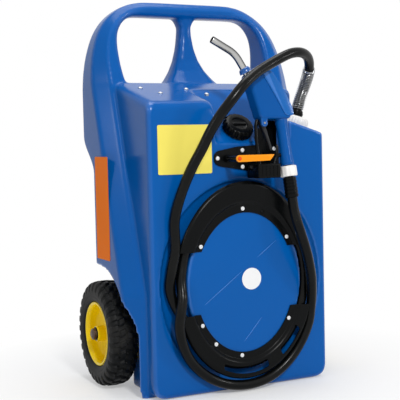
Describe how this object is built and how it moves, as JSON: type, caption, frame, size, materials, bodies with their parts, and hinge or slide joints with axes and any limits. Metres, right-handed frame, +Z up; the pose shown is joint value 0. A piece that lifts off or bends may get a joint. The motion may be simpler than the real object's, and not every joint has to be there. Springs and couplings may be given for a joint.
{
  "type": "fluid transfer trolley",
  "caption": "Upright two-wheeled trolley with a moulded tank, arched handle, electric pump, hose wound on a guarded hub, and a trigger nozzle in a holder.",
  "frame": {"origin": "on the floor under the middle of the trolley's box, measured without the free hose", "axes": "+Z up, +X to the right as seen from the front, the hose hub and the nozzle face -Y, the handle and wheels are at +Y"},
  "size_m": [0.6882, 0.4822, 1.07],
  "materials": {
    "blue_tank": "moulded polyethylene, soft sheen",
    "black_plastic": "satin black moulded plastic",
    "white_screw": "white coated heads",
    "white_plastic": "satin white plastic",
    "clear_hose": "pale flexible hose",
    "steel": "bright steel",
    "zinc_steel": "zinc plated",
    "blue_nozzle": "moulded blue plastic skin",
    "blue_cover": "brighter blue plastic shell",
    "grey_trigger": "dark grey plastic",
    "orange_latch": "orange plastic",
    "rubber": "black rubber, soft sheen",
    "tyre_rubber": "matt black tyre rubber",
    "yellow_rim": "deep yellow moulded rim",
    "yellow_plate": "plain yellow plate",
    "orange_label": "plain orange label",
    "white_plate": "plain white plate"
  },
  "bodies": {
    "trolley": {"tank_body": "blue_tank", "hose_guard_upper": "black_plastic", "hose_guard_lower": "black_plastic", "guard_screws_1": "white_screw", "guard_screws_2": "white_screw", "guard_screws_3": "white_screw", "guard_screws_4": "white_screw", "guard_screws_5": "white_screw", "guard_screws_6": "white_screw", "guard_screws_7": "white_screw", "guard_screws_8": "white_screw", "pump_cap": "white_plastic", "pump_outlet": "black_plastic", "riser_hose": "clear_hose", "submersible_pump": "black_plastic", "pump_strainer": "steel", "nozzle_spout": "steel", "spout_collar": "blue_nozzle", "nozzle_body": "blue_nozzle", "nozzle_cover": "blue_cover", "nozzle_grip": "blue_nozzle", "hose_tail": "black_plastic", "swivel_nut": "white_plastic", "trigger_guard": "black_plastic", "trigger_pin": "steel", "holder_plate": "black_plastic", "nozzle_cradle": "black_plastic", "latch_pin": "steel", "plate_screws_1": "white_screw", "plate_screws_2": "white_screw", "plate_screws_3": "white_screw", "plate_screws_4": "white_screw", "plate_screws_5": "white_screw", "filler_seal": "rubber", "delivery_hose": "rubber", "bend_spring": "steel", "spring_ferrule": "steel", "axle_washer_left": "zinc_steel", "axle_cap_left": "steel", "axle_washer_right": "zinc_steel", "axle_cap_right": "steel", "axle": "zinc_steel", "axle_bracket_left": "zinc_steel", "axle_bracket_right": "zinc_steel", "instruction_plate": "yellow_plate", "side_label": "orange_label", "round_plate": "white_plate"},
    "wheel_left": {"tyre_left": "tyre_rubber", "rim_left": "yellow_rim", "wheel_bush_left": "black_plastic", "valve_stem_left": "black_plastic"},
    "wheel_right": {"tyre_right": "tyre_rubber", "rim_right": "yellow_rim", "wheel_bush_right": "black_plastic", "valve_stem_right": "black_plastic"},
    "trigger": {"nozzle_trigger": "grey_trigger"},
    "latch": {"latch_lever": "orange_latch"},
    "cap": {"filler_cap": "black_plastic"}
  },
  "joints": [
    {"name": "wheel_left_turn", "type": "hinge", "parent": "trolley", "child": "wheel_left", "pos_m": [-0.2955, 0.0903, 0.145], "axis": [1, 0, 0], "continuous": true},
    {"name": "wheel_right_turn", "type": "hinge", "parent": "trolley", "child": "wheel_right", "pos_m": [0.2955, 0.0903, 0.145], "axis": [1, 0, 0], "continuous": true},
    {"name": "trigger_pull", "type": "hinge", "parent": "trolley", "child": "trigger", "pos_m": [0.047, -0.18847, 0.70973], "axis": [0, -0.9903, 0.1392], "range_deg": [0, 17], "stiffness_Nm_per_rad": 0.4, "springref_deg": -8.59},
    {"name": "latch_turn", "type": "hinge", "parent": "trolley", "child": "latch", "pos_m": [-0.044, -0.2295, 0.621], "axis": [0, -1, 0], "range_deg": [0, 90]},
    {"name": "filler_cap_turn", "type": "hinge", "parent": "trolley", "child": "cap", "pos_m": [0.009, -0.11934, 0.69536], "axis": [0, -0.7071, 0.7071], "range_deg": [0, 270]}
  ]
}
